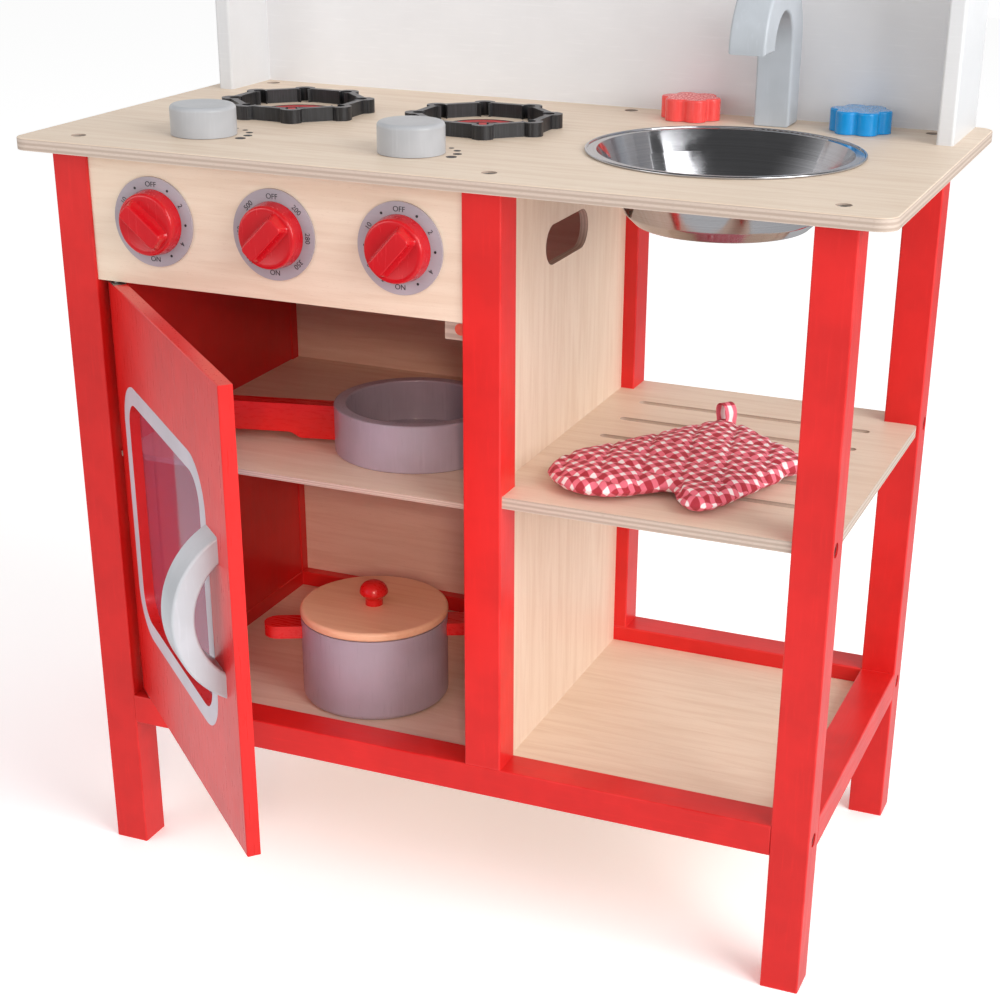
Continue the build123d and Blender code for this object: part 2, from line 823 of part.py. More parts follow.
def pan_support():
    """An eight-sided ring with a ribbed, hollow lug at every corner."""
    outline = RegularPolygon(support_lug_circle + support_bar / 2, support_lugs)
    outline -= RegularPolygon(support_lug_circle - support_bar / 2, support_lugs)
    for step in range(support_lugs):
        turn = Rot(0, 0, step * 360 / support_lugs)
        outline += turn * Pos(support_lug_circle, 0) * Circle(support_lug_radius)
        for side in (-1, 1):
            rib = Pos(support_lug_circle + support_bar / 2, side * support_rib_spread)
            outline += turn * rib * Circle(support_rib)
    for step in range(support_lugs):
        turn = Rot(0, 0, step * 360 / support_lugs)
        inward = support_lug_circle - support_pocket_shift
        outline -= turn * Pos(inward, 0) * Circle(support_pocket_radius)
        mouth = Rectangle(support_lug_radius * 2, support_pocket_radius * 1.2)
        outline -= turn * Pos(inward - support_lug_radius, 0) * mouth
    return Rot(0, 0, 180 / support_lugs) * extrude(outline, support_height)


def pan_supports():
    """The two rings that stand on the printed hot plates."""
    made = {}
    for name, side in (("left", -1), ("right", 1)):
        x = oven_middle + support_shift_x + side * support_spread
        made[f"pan_support_{name}"] = Pos(x, support_shift_y, worktop_top) * pan_support()
    return made


def back_boards():
    """Splash board, its two wings and the shelf across their top."""
    top = worktop_top + back_rise
    wing_outer = right + worktop_side_overhang - wing_side_margin
    wing_inner = wing_outer - wing_thickness
    wing_rear = rear + worktop_rear_overhang - wing_rear_margin
    wing_front = wing_rear - wing_depth
    made = {"splash_panel": block(-wing_inner, wing_inner, rear, rear + splash_thickness,
                                  worktop_top, top - top_shelf_thickness)}
    wing = block(wing_inner, wing_outer, wing_front, wing_rear, worktop_top, top)
    high_front = wing.edges().filter_by(Axis.X).group_by(Axis.Z)[-1].sort_by(Axis.Y)[0]
    wing = fillet(high_front, wing_corner_radius)
    inner_face = wing.faces().sort_by(Axis.X)[0]
    outer_face = wing.faces().sort_by(Axis.X)[-1]
    upright = [e for face in (inner_face, outer_face) for e in face.edges().filter_by(Axis.Z)]
    wing = fillet([e for e in upright if e.center().Y < rear], wing_edge_radius)
    made["wing_right"] = wing
    made["wing_left"] = mirror(wing, Plane.YZ)
    made["top_shelf"] = block(-wing_inner, wing_inner, rear + splash_thickness - top_shelf_depth,
                              rear + splash_thickness, top - top_shelf_thickness, top)
    return made


def pot_handles():
    """Two flat round-ended grips on opposite sides of the pot."""
    z = floor_top + pot_height - pot_handle_drop
    reach = pot_radius + pot_handle_reach
    grip = SlotOverall(2 * reach, pot_handle_width) - Circle(pot_radius)
    grips = Pos(pot_x, pot_shift_y, z) * Rot(0, 0, pot_handle_turn) * extrude(grip, -pot_handle_thickness)
    return group(grips.solids())


def pot_body():
    """A straight-sided cup with rounded lower corners."""
    low = (Align.CENTER, Align.CENTER, Align.MIN)
    cup = Cylinder(pot_radius, pot_height, align=low)
    cup = fillet(cup.edges().sort_by(Axis.Z)[0], pot_corner_radius)
    hollow = Cylinder(pot_radius - pot_wall, pot_height, align=low)
    hollow = fillet(hollow.edges().sort_by(Axis.Z)[0], pot_corner_radius - pot_wall / 2)
    return Pos(pot_x, pot_shift_y, floor_top) * (cup - Pos(0, 0, pot_floor) * hollow)


def pot_lid():
    """A wooden disc with a plug that drops into the pot."""
    low = (Align.CENTER, Align.CENTER, Align.MIN)
    disc = Cylinder(lid_radius, lid_thickness, align=low)
    disc = fillet(disc.edges().filter_by(GeomType.CIRCLE), lid_edge_radius)
    plug_radius = pot_radius - pot_wall - lid_plug_clearance
    plug = Cylinder(plug_radius, lid_plug, align=(Align.CENTER, Align.CENTER, Align.MAX))
    return Pos(pot_x, pot_shift_y, floor_top + pot_height + lid_gap) * (disc + plug)


def lid_knob():
    """A turned knob: a waisted stem under a low dome."""
    stem_top = lid_knob_stem
    half_dome = lid_knob_dome / 2
    with BuildLine() as line:
        foot = Line((0, 0), (lid_knob_stem_radius, 0))
        stem = Line(foot @ 1, (lid_knob_stem_radius, stem_top / 2))
        neck = Spline(stem @ 1, (lid_knob_radius, stem_top + half_dome / 2),
                      tangents=((0, 1), (0.3, 1)))
        dome = Spline(neck @ 1, (0, stem_top + lid_knob_dome),
                      tangents=((-0.1, 1), (-1, 0)))
        Line(dome @ 1, foot @ 0)
    section = make_face(line.line)
    knob = revolve(Plane.XZ * section, Axis.Z)
    return Pos(pot_x, pot_shift_y, floor_top + pot_height + lid_gap + lid_thickness) * knob


def pan_body():
    """A thick-walled round dish."""
    low = (Align.CENTER, Align.CENTER, Align.MIN)
    dish = Cylinder(pan_radius, pan_height, align=low)
    hollow = Cylinder(pan_radius - pan_wall, pan_height, align=low)
    dish -= Pos(0, 0, pan_floor) * hollow
    rims = dish.edges().filter_by(GeomType.CIRCLE).group_by(Axis.Z)
    dish = fillet(rims[-1] + rims[0], pan_edge_radius)
    return Pos(pan_x, pan_shift_y, oven_shelf_top) * dish


def pan_handle():
    """A flat grip whose underside steps up away from the dish."""
    top = pan_height - pan_handle_drop
    start = pan_radius - pan_handle_seat
    root_end = pan_radius + pan_handle_root_length
    end = pan_radius + pan_handle_length
    root_low = top - pan_handle_root
    grip_low = top - pan_handle_grip
    with BuildLine() as line:
        upper = Line((start, top), (end, top))
        tip = Line(upper @ 1, (end, grip_low))
        under = Line(tip @ 1, (root_end + pan_handle_step, grip_low))
        step = Spline(under @ 1, (root_end, root_low), tangents=((-1, 0), (-1, 0)))
        root = Line(step @ 1, (start, root_low))
        Line(root @ 1, upper @ 0)
    side = extrude(Plane.XZ * make_face(line.line), pan_handle_thickness / 2, both=True)
    tips = side.edges().filter_by(Axis.Y).group_by(Axis.X)[-1]
    side = fillet(tips, pan_handle_end_radius)
    side -= Cylinder(pan_radius, 4 * pan_height)
    turn = 180 + pan_handle_turn
    return Pos(pan_x, pan_shift_y, oven_shelf_top) * Rot(0, 0, turn) * side


def stretched_over(discs):
    """The outline drawn tight round discs given as a radius and a middle."""
    edges = [(Pos(x, y) * Circle(radius)).edge() for radius, x, y in discs]
    return make_hull(edges)


def bend_at(corner, outline):
    """How sharply an outline turns at a corner, 0 where it runs on smoothly."""
    ways = []
    for edge in outline.edges():
        for share in (0, 1):
            if (edge @ share - corner.center()).length < touching:
                ways.append(edge % share)
    return 1 - abs(ways[0].dot(ways[1]))


def mitt_outline():
    """The mitt from above, fingers along +X and thumb along +Y, its cuff at X = 0."""
    corner = mitt_cuff_width / 2 - mitt_cuff_corner
    hand = stretched_over([
        (mitt_cuff_corner, mitt_cuff_corner, -corner),
        (mitt_cuff_corner, mitt_cuff_corner, corner),
        (mitt_finger_radius, mitt_length - mitt_finger_radius, 0.0),
    ])
    thumb = stretched_over([
        (mitt_thumb_radius, mitt_thumb_along, mitt_thumb_out),
        (mitt_thumb_radius, mitt_web_along, mitt_web_out),
        (mitt_thumb_radius, mitt_ball_along, mitt_ball_out),
    ])
    both = hand + thumb
    inward = sorted(both.vertices(), key=lambda corner: bend_at(corner, both))[-2:]
    return fillet(inward, mitt_crotch_radius)


def mitt_place():
    """The middle of the cuff's edge on the shelf, turned along the fingers."""
    return Pos(mitt_x, mitt_shift_y, slatted_shelf_top + mitt_gap) * Rot(0, 0, mitt_turn)


def oven_mitt():
    """A padded mitt that lies on the slatted shelf."""
    body = extrude(mitt_place() * mitt_outline(), mitt_thickness)
    levels = body.edges().group_by(Axis.Z)
    return fillet(levels[0] + levels[-1], mitt_edge_radius)


def mitt_loop():
    """The hanging loop, sewn into the mitt's back seam and standing up."""
    outline = SlotOverall(mitt_loop_length, mitt_loop_width)
    outline -= offset(outline, -mitt_loop_strap)
    loop = extrude(outline, mitt_loop_band / 2, both=True)
    upright = Plane(origin=(0, 0, mitt_thickness / 2 + mitt_loop_length / 2),
                    x_dir=(0, 0, 1), z_dir=(1, 0, 0))
    root = Pos(mitt_loop_inset, -mitt_cuff_width / 2 + mitt_loop_inset, 0)
    return mitt_place() * root * (upright * loop)


def fasteners():
    """Bolts and screws, each kind in one node."""
    return {
        "worktop_bolts": group(bolt(place, worktop_bolt_length, (0, 0, -1))
                               for place in worktop_bolt_places()),
        "frame_bolts": group(bolt(place, frame_bolt_length, toward)
                             for place, toward in frame_bolt_places()),
        "shelf_screws": group(bolt(place, shelf_screw_length, (-1, 0, 0))
                              for place in shelf_screw_places()),
    }


def kitchen():
    """All pieces by name, about the middle of the leg frame."""
    made = {}
    made.update(posts())
    made.update(rails())
    made["floor_panel"] = floor_panel()
    made["left_side_panel"] = left_side_panel()
    made["back_panel"] = back_panel()
    made["divider_panel"] = divider_panel()
    made["oven_shelf"] = oven_shelf_board()
    made["slatted_shelf"] = slatted_shelf()
    made["control_panel"] = control_panel()
    made.update(dials())
    made.update(oven_knobs())
    made.update(catch())
    made.update(door())
    made["worktop"] = worktop()
    made["sink_bowl"] = sink_bowl()
    made.update(turning_pieces())
    made["faucet"] = faucet()
    made.update(pan_supports())
    made.update(back_boards())
    made["pot_body"] = pot_body()
    made["pot_handles"] = pot_handles()
    made["pot_lid"] = pot_lid()
    made["lid_knob"] = lid_knob()
    made["pan_body"] = pan_body()
    made["pan_handle"] = pan_handle()
    made["oven_mitt"] = oven_mitt()
    made["mitt_loop"] = mitt_loop()
    made.update(fasteners())
    return made


pieces = kitchen()
low_corner = [min(getattr(body.bounding_box().min, axis) for body in pieces.values()) for axis in "XYZ"]
high_corner = [max(getattr(body.bounding_box().max, axis) for body in pieces.values()) for axis in "XYZ"]
shift_x = -(low_corner[0] + high_corner[0]) / 2
shift_y = -(low_corner[1] + high_corner[1]) / 2
shift_z = -low_corner[2]

os.makedirs("parts", exist_ok=True)
for name, body in pieces.items():
    export_step(Pos(shift_x, shift_y, shift_z) * body, f"parts/{name}.step")
print("moved by", round(shift_x, 3), round(shift_y, 3), round(shift_z, 3))
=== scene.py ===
import json
import math

import bmesh
import bpy
from mathutils import Matrix, Vector, noise


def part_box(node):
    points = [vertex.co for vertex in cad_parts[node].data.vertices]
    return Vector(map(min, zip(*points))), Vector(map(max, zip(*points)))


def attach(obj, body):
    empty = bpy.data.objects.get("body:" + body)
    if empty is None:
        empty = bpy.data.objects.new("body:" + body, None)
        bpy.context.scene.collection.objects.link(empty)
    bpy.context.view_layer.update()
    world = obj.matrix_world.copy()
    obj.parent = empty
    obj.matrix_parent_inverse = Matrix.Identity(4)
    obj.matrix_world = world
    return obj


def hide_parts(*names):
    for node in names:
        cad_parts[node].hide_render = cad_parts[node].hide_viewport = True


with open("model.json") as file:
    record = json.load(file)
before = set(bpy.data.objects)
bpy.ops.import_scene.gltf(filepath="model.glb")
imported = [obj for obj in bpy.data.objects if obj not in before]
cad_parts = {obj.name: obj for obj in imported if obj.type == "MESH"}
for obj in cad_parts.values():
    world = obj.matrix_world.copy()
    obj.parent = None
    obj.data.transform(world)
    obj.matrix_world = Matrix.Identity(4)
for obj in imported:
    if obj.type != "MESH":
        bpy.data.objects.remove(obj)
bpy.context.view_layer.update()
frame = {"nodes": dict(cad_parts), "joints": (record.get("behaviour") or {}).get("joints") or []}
nodes = frame["nodes"]
MM = 0.001

# The thickness of a print and how far it stands off its face
PRINT = 0.12 * MM
CLEAR = 0.02 * MM

# The plywood's layers, the width of worn edges and the cloth's threads
PLIES = 5
EDGE_WEAR = 1.4 * MM
THREAD = 0.55 * MM

# Colours as they look on a screen: red, green and blue from 0 to 255
RED = (224, 36, 34)
KNOB_RED = (208, 18, 30)
TAP_RED = (250, 84, 80)
BLUE = (0, 148, 222)
BIRCH = (238, 219, 198)
BIRCH_DARK = (228, 205, 182)
BIRCH_VEIN = (206, 178, 152)
PLY_LIGHT = (208, 190, 176)
PLY_DARK = (168, 146, 130)
LID_WOOD = (246, 204, 166)
LID_DARK = (238, 190, 150)
LID_VEIN = (222, 170, 130)
WHITE = (240, 240, 242)
WING_WHITE = (219, 220, 222)
GREY = (190, 196, 203)
KNOB_GREY = (186, 188, 192)
TICK_GREY = (128, 132, 138)
POT_GREY = (178, 172, 186)
DIAL_GREY = (176, 168, 176)
RING_GREY = (204, 198, 208)
BLACK = (26, 26, 28)
BLACK_RIDGE = (46, 46, 50)
# Painted highlight on the upward faces of the black pan supports, and its worn blotches
BLACK_TOP_HIGHLIGHT = (88, 88, 92)
BLACK_TOP_HIGHLIGHT_WORN = (120, 120, 124)
INK = (28, 26, 28)
STEEL = (190, 190, 194)
ZINC = (176, 174, 170)
# Coral red of the catch magnet: a painted reflection of the red door on its steel
MAGNET_DOOR_REFLECTION = (224, 92, 70)
HOT_RED = (196, 44, 48)
CLOTH_WHITE = (250, 240, 240)
CLOTH_PINK = (232, 108, 128)
CLOTH_RED = (174, 0, 38)
PANE_TINT = (216, 168, 204)
PANE_MARK = (200, 150, 190)


def linear(colour):
    """A screen colour as linear values, fully opaque."""
    out = []
    for value in colour:
        share = value / 255
        out.append(share / 12.92 if share <= 0.04045 else ((share + 0.055) / 1.055) ** 2.4)
    return (*out, 1.0)


class Finish:
    """One material's nodes, with short calls for the ones that all of them use."""

    def __init__(self, name, roughness=0.5, metallic=0.0, coat=0.0, coat_roughness=0.2):
        self.material = bpy.data.materials.new(name)
        self.material.use_nodes = True
        self.tree = self.material.node_tree
        self.shader = self.tree.nodes["Principled BSDF"]
        self.shader.inputs["Roughness"].default_value = roughness
        self.shader.inputs["Metallic"].default_value = metallic
        self.shader.inputs["Coat Weight"].default_value = coat
        self.shader.inputs["Coat Roughness"].default_value = coat_roughness
        self.place = self.tree.nodes.new("ShaderNodeTexCoord").outputs["Object"]

    def put(self, socket, value):
        """Link a socket, or set its own value."""
        if isinstance(value, bpy.types.NodeSocket):
            self.tree.links.new(value, socket)
        else:
            socket.default_value = value

    def node(self, kind, **settings):
        """A new node with its settings."""
        made = self.tree.nodes.new(kind)
        for key, value in settings.items():
            setattr(made, key, value)
        return made

    def maths(self, operation, a, b=0.0):
        """One step of arithmetic between sockets or numbers."""
        made = self.node("ShaderNodeMath", operation=operation)
        for socket, value in zip(made.inputs, (a, b)):
            self.put(socket, value)
        return made.outputs[0]

    def scaled(self, scale, turn=(0, 0, 0), place=None):
        """The object's own coordinates, turned and then stretched."""
        made = self.node("ShaderNodeMapping", vector_type="POINT")
        self.put(made.inputs["Vector"], place or self.place)
        made.inputs["Rotation"].default_value = turn
        made.inputs["Scale"].default_value = scale
        return made.outputs[0]

    def axis(self, name, place=None):
        """One coordinate of a place."""
        made = self.node("ShaderNodeSeparateXYZ")
        self.put(made.inputs[0], place or self.place)
        return made.outputs[name]

    def noise(self, place, scale, detail=4.0, roughness=0.55, distortion=0.0):
        """Cloudy noise from 0 to 1."""
        made = self.node("ShaderNodeTexNoise")
        self.put(made.inputs["Vector"], place)
        made.inputs["Scale"].default_value = scale
        made.inputs["Detail"].default_value = detail
        made.inputs["Roughness"].default_value = roughness
        made.inputs["Distortion"].default_value = distortion
        return made.outputs["Fac"]

    def ramp(self, factor, low, high, start=0.0, end=1.0):
        """A value carried from one range to another, held at the ends."""
        made = self.node("ShaderNodeMapRange", interpolation_type="SMOOTHSTEP")
        self.put(made.inputs["Value"], factor)
        made.inputs["From Min"].default_value = low
        made.inputs["From Max"].default_value = high
        made.inputs["To Min"].default_value = start
        made.inputs["To Max"].default_value = end
        return made.outputs[0]

    def blend(self, factor, a, b):
        """From colour a to colour b by a factor."""
        made = self.node("ShaderNodeMix", data_type="RGBA")
        self.put(made.inputs["Factor"], factor)
        self.put(made.inputs["A"], linear(a) if isinstance(a, tuple) else a)
        self.put(made.inputs["B"], linear(b) if isinstance(b, tuple) else b)
        return made.outputs["Result"]

    def colour(self, value):
        """Set the base colour."""
        self.put(self.shader.inputs["Base Color"], value)

    def roughness(self, value):
        """Set the roughness."""
        self.put(self.shader.inputs["Roughness"], value)

    def bump(self, height, strength, distance):
        """Add a relief on top of any earlier one."""
        made = self.node("ShaderNodeBump")
        made.inputs["Strength"].default_value = strength
        made.inputs["Distance"].default_value = distance
        self.put(made.inputs["Height"], height)
        normal = self.shader.inputs["Normal"]
        if normal.is_linked:
            self.put(made.inputs["Normal"], normal.links[0].from_socket)
        self.put(normal, made.outputs["Normal"])


def grain_scale(axis, along, across):
    """Stretch factors that run a texture along one axis."""
    return tuple(along if name == axis else across for name in "XYZ")


def edge_wear(finish, low, high):
    """From 0 on the faces to 1 along the edges of a box."""
    near = []
    for name, start, end in zip("XYZ", low, high):
        value = finish.axis(name)
        centre, half = (start + end) / 2, (end - start) / 2
        offset = finish.maths("ABSOLUTE", finish.maths("SUBTRACT", value, centre))
        near.append(finish.ramp(offset, half - EDGE_WEAR, half))
    pairs = [finish.maths("MULTIPLY", near[i], near[j]) for i, j in ((0, 1), (1, 2), (0, 2))]
    return finish.maths("MAXIMUM", finish.maths("MAXIMUM", pairs[0], pairs[1]), pairs[2])


def painted_wood(name, colour, grain="Z", box=None, roughness=0.36, turn=0.0, coat=0.25, depth=0.94):
    """Sprayed satin paint through which the wood's grain just shows."""
    finish = Finish(name, roughness=roughness, coat=coat * 0.6, coat_roughness=0.18)
    finish.shader.inputs["Specular IOR Level"].default_value = 0.3
    place = finish.scaled((1, 1, 1), turn=(0, 0, turn))
    cloud = finish.noise(place, 22, detail=3)
    streaks = finish.noise(finish.scaled(grain_scale(grain, 6, 90), place=place), 6, detail=6)
    darker = tuple(int(value * depth) for value in colour)
    lighter = tuple(min(255, int(value * 1.04) + 4) for value in colour)
    tone = finish.blend(finish.ramp(cloud, 0.3, 0.7), darker, colour)
    tone = finish.blend(finish.ramp(streaks, 0.52, 0.8, 0.0, 0.35), tone, lighter)
    if box:
        wear = finish.maths("MULTIPLY", edge_wear(finish, *box), finish.ramp(cloud, 0.35, 0.6))
        worn = tuple(min(255, int(value * 0.85 + 48)) for value in colour)
        tone = finish.blend(finish.maths("MULTIPLY", wear, 0.5), tone, worn)
    finish.colour(tone)
    finish.roughness(finish.ramp(streaks, 0.2, 0.8, roughness - 0.05, roughness + 0.08))
    finish.bump(streaks, 0.10, 0.15 * MM)
    finish.bump(finish.noise(place, 900, detail=2), 0.05, 0.08 * MM)
    return finish.material


def birch(name, grain, thick, base=BIRCH, dark=BIRCH_DARK, vein=BIRCH_VEIN, span=None):
    """Pale lacquered plywood: flecked face veneer and, with a span, striped edges."""
    finish = Finish(name, roughness=0.48, coat=0.08, coat_roughness=0.35)
    long_noise = finish.noise(finish.scaled(grain_scale(grain, 1.2, 16)), 9, detail=5, distortion=0.6)
    fibre = finish.noise(finish.scaled(grain_scale(grain, 9, 300)), 7, detail=3)
    fleck = finish.noise(finish.scaled(grain_scale(grain, 30, 260)), 8, detail=2, roughness=0.7)
    cloud = finish.noise(finish.place, 7, detail=3)
    tone = finish.blend(finish.ramp(long_noise, 0.35, 0.72), base, dark)
    tone = finish.blend(finish.ramp(cloud, 0.45, 0.75, 0.0, 0.35), tone, dark)
    tone = finish.blend(finish.ramp(fibre, 0.55, 0.8, 0.0, 0.3), tone, vein)
    tone = finish.blend(finish.ramp(fleck, 0.64, 0.74, 0.0, 0.45), tone, vein)
    if span:
        start, end = span
        level = finish.maths("DIVIDE", finish.maths("SUBTRACT", finish.axis(thick), start), end - start)
        wobble = finish.noise(finish.place, 60, detail=2)
        level = finish.maths("ADD", level, finish.maths("MULTIPLY", wobble, 0.06))
        wave = finish.maths("PINGPONG", finish.maths("MULTIPLY", level, PLIES), 1.0)
        layer = finish.blend(finish.ramp(wave, 0.25, 0.75), PLY_LIGHT, PLY_DARK)
        rough = finish.noise(finish.scaled(grain_scale(thick, 500, 120)), 3, detail=4)
        layer = finish.blend(finish.ramp(rough, 0.5, 0.75, 0.0, 0.6), layer, PLY_DARK)
        layer = finish.blend(0.38, layer, PLY_LIGHT)
        facing = finish.node("ShaderNodeTexCoord").outputs["Normal"]
        flat = finish.maths("ABSOLUTE", finish.axis(thick, facing))
        side = finish.ramp(flat, 0.35, 0.7, 1.0, 0.0)
        tone = finish.blend(side, tone, layer)
    finish.colour(tone)
    finish.bump(fibre, 0.12, 0.12 * MM)
    finish.bump(fleck, 0.08, 0.1 * MM)
    return finish.material


def steel(name, centre=None, colour=STEEL, roughness=0.11):
    """Polished sheet steel with fine turned lines about a centre."""
    finish = Finish(name, roughness=roughness, metallic=1.0)
    if centre:
        x = finish.maths("SUBTRACT", finish.axis("X"), centre[0])
        y = finish.maths("SUBTRACT", finish.axis("Y"), centre[1])
        radius = finish.maths("SQRT", finish.maths("ADD", finish.maths("MULTIPLY", x, x),
                                                   finish.maths("MULTIPLY", y, y)))
        combined = finish.node("ShaderNodeCombineXYZ")
        finish.put(combined.inputs["X"], radius)
        finish.put(combined.inputs["Y"], finish.axis("Z"))
        lines = finish.noise(combined.outputs[0], 2600, detail=3)
    else:
        lines = finish.noise(finish.place, 1500, detail=3)
    smudge = finish.noise(finish.place, 35, detail=3)
    darker = tuple(int(value * 0.9) for value in colour)
    finish.colour(finish.blend(finish.ramp(lines, 0.3, 0.7), darker, colour))
    finish.roughness(finish.ramp(smudge, 0.3, 0.75, roughness - 0.05, roughness + 0.08))
    finish.bump(lines, 0.04, 0.02 * MM)
    return finish.material


def plain_print(name, colour):
    """Ink: one tone with a little unevenness."""
    finish = Finish(name)
    uneven = finish.noise(finish.place, 400, detail=3)
    lighter = tuple(min(255, int(value + 14)) for value in colour)
    finish.colour(finish.blend(finish.ramp(uneven, 0.4, 0.7, 0.0, 0.6), colour, lighter))
    finish.bump(uneven, 0.05, 0.03 * MM)
    return finish.material


def black_stain(name):
    """Satin black stain on cut plywood, with fine upright cut marks and a painted highlight: faces that
    point up are lighter grey, with blotchy wear in it.
    """
    finish = Finish(name, roughness=0.4)
    ridges = finish.noise(finish.scaled((1, 1, 0.04)), 900, detail=2)
    cloud = finish.noise(finish.place, 120, detail=4)
    tone = finish.blend(finish.ramp(ridges, 0.4, 0.7, 0.0, 0.8), BLACK, BLACK_RIDGE)
    facing = finish.node("ShaderNodeTexCoord").outputs["Normal"]
    # Painted highlight: faces that point up blend toward a lighter grey, blotchy with wear
    highlight_mask = finish.ramp(finish.axis("Z", facing), 0.6, 0.9)
    top = finish.blend(finish.ramp(cloud, 0.35, 0.65), BLACK_TOP_HIGHLIGHT, BLACK_TOP_HIGHLIGHT_WORN)
    finish.colour(finish.blend(finish.maths("MULTIPLY", highlight_mask, 0.55), tone, top))
    finish.bump(ridges, 0.25, 0.1 * MM)
    return finish.material


def gingham(name, period, way):
    """Woven check in red, pink and white, with threads and a soft nap."""
    finish = Finish(name, roughness=0.85)
    finish.shader.inputs["Sheen Weight"].default_value = 0.06
    finish.shader.inputs["Sheen Roughness"].default_value = 0.5
    place = finish.scaled((1, 1, 1), turn=(0, 0, -way))
    drift = finish.noise(finish.place, 45, detail=2)
    bands = []
    for axis in "XY":
        value = finish.maths("ADD", finish.axis(axis, place), finish.maths("MULTIPLY", drift, 6 * MM))
        wave = finish.maths("PINGPONG", finish.maths("DIVIDE", value, period / 2), 1.0)
        bands.append(finish.ramp(wave, 0.36, 0.46))
    both = finish.maths("MULTIPLY", bands[0], bands[1])
    either = finish.maths("MAXIMUM", bands[0], bands[1])
    threads = []
    for axis in "XY":
        value = finish.maths("MULTIPLY", finish.axis(axis, place), 2 * math.pi / THREAD)
        threads.append(finish.maths("SINE", value))
    weave = finish.maths("MULTIPLY", threads[0], threads[1])
    tone = finish.blend(either, CLOTH_WHITE, CLOTH_PINK)
    tone = finish.blend(both, tone, CLOTH_RED)
    tone = finish.blend(finish.ramp(weave, -1, 1, 0.0, 0.06), tone, CLOTH_WHITE)
    finish.colour(tone)
    finish.bump(weave, 0.35, 0.12 * MM)
    finish.bump(finish.noise(finish.place, 700, detail=3), 0.25, 0.15 * MM)
    return finish.material


def clear_pane(name):
    """Clear plastic sheet with a faint tint and a few fine marks."""
    finish = Finish(name, roughness=0.04)
    finish.shader.inputs["Transmission Weight"].default_value = 0.9
    finish.shader.inputs["IOR"].default_value = 1.2
    marks = finish.noise(finish.scaled((1, 1, 0.2)), 120, detail=4)
    finish.colour(finish.blend(finish.ramp(marks, 0.5, 0.8, 0.0, 0.5), PANE_TINT, PANE_MARK))
    finish.roughness(finish.ramp(marks, 0.5, 0.8, 0.03, 0.12))
    return finish.material


def new_object(name, data):
    """A new object in the scene."""
    made = bpy.data.objects.new(name, data)
    bpy.context.scene.collection.objects.link(made)
    return made


def only_material(mesh, material):
    """Drop a mesh's materials and give it this one."""
    mesh.materials.clear()
    mesh.materials.append(material)


def dress(name, material):
    """Give a CAD node its finish in every slot."""
    mesh = nodes[name].data
    if not mesh.materials:
        mesh.materials.append(material)
    for index in range(len(mesh.materials)):
        mesh.materials[index] = material


def add_piece(name, mesh, material, body):
    """A new piece from a mesh, riding on a CAD body."""
    only_material(mesh, material)
    piece = new_object(name, mesh)
    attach(piece, body)
    return piece


def mesh_from(name, build):
    """A mesh filled in by a function that gets the bmesh."""
    mesh = bpy.data.meshes.new(name)
    work = bmesh.new()
    build(work)
    bmesh.ops.recalc_face_normals(work, faces=work.faces)
    work.to_mesh(mesh)
    work.free()
    return mesh


def flat_band(outer, inner, lift, depth):
    """A thin raised band between two closed outlines of equally many points."""
    def build(work):
        rings = []
        for level in (0.0, depth):
            for outline in (outer, inner):
                rings.append([work.verts.new(lift(x, y, level)) for x, y in outline])
        low_out, low_in, high_out, high_in = rings
        count = len(outer)
        for i in range(count):
            j = (i + 1) % count
            work.faces.new((high_out[i], high_out[j], high_in[j], high_in[i]))
            work.faces.new((low_out[i], low_in[i], low_in[j], low_out[j]))
            work.faces.new((low_out[i], low_out[j], high_out[j], high_out[i]))
            work.faces.new((low_in[i], high_in[i], high_in[j], low_in[j]))
    return build


def flat_disc(outline, lift, depth):
    """A thin raised plate with one closed outline."""
    def build(work):
        low = [work.verts.new(lift(x, y, 0.0)) for x, y in outline]
        high = [work.verts.new(lift(x, y, depth)) for x, y in outline]
        work.faces.new(high)
        work.faces.new(low[::-1])
        for i in range(len(outline)):
            j = (i + 1) % len(outline)
            work.faces.new((low[i], low[j], high[j], high[i]))
    return build


def circle(radius, count):
    """Points round a circle about the origin."""
    return [(radius * math.cos(2 * math.pi * i / count),
             radius * math.sin(2 * math.pi * i / count)) for i in range(count)]


def rounded_rectangle(width, height, radius, steps):
    """Points round a rectangle with rounded corners, about its middle."""
    points = []
    corners = ((1, 1, 0), (-1, 1, 90), (-1, -1, 180), (1, -1, 270))
    for sign_x, sign_y, start in corners:
        x = sign_x * (width / 2 - radius)
        y = sign_y * (height / 2 - radius)
        for i in range(steps + 1):
            angle = math.radians(start + 90 * i / steps)
            points.append((x + radius * math.cos(angle), y + radius * math.sin(angle)))
    return points


# The leg frame and the door, read from the frame
legs_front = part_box("post_front_left")[0].y
legs_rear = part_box("post_rear_left")[1].y
legs_middle = (legs_front + legs_rear) / 2
worktop_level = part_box("worktop")[1].z

# Dressing of the boards and posts
red_names = [name for name in nodes if name.startswith(("post_", "rail_"))]
red_names.append("left_side_panel")
for name in red_names:
    low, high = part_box(name)
    size = high - low
    longest = "XYZ"[list(size).index(max(size))]
    dress(name, painted_wood(f"red_{name}", RED, grain=longest, box=(low, high)))

for name, grain, thick in (
    ("worktop", "X", "Z"),
    ("slatted_shelf", "X", "Z"),
    ("floor_panel", "X", "Z"),
    ("oven_shelf", "X", "Z"),
    ("divider_panel", "Z", "X"),
    ("back_panel", "X", "Y"),
    ("control_panel", "X", "Y"),
    ("top_shelf", "X", "Z"),
    ("catch_block", "Y", "Z"),
):
    low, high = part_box(name)
    index = "XYZ".index(thick)
    dress(name, birch(f"birch_{name}", grain, thick, span=(low[index], high[index])))

for name, colour in (("splash_panel", WHITE), ("wing_left", WING_WHITE), ("wing_right", WING_WHITE)):
    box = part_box(name)
    dress(name, painted_wood(f"white_{name}", colour, grain="X", box=box, roughness=0.42, depth=0.99))

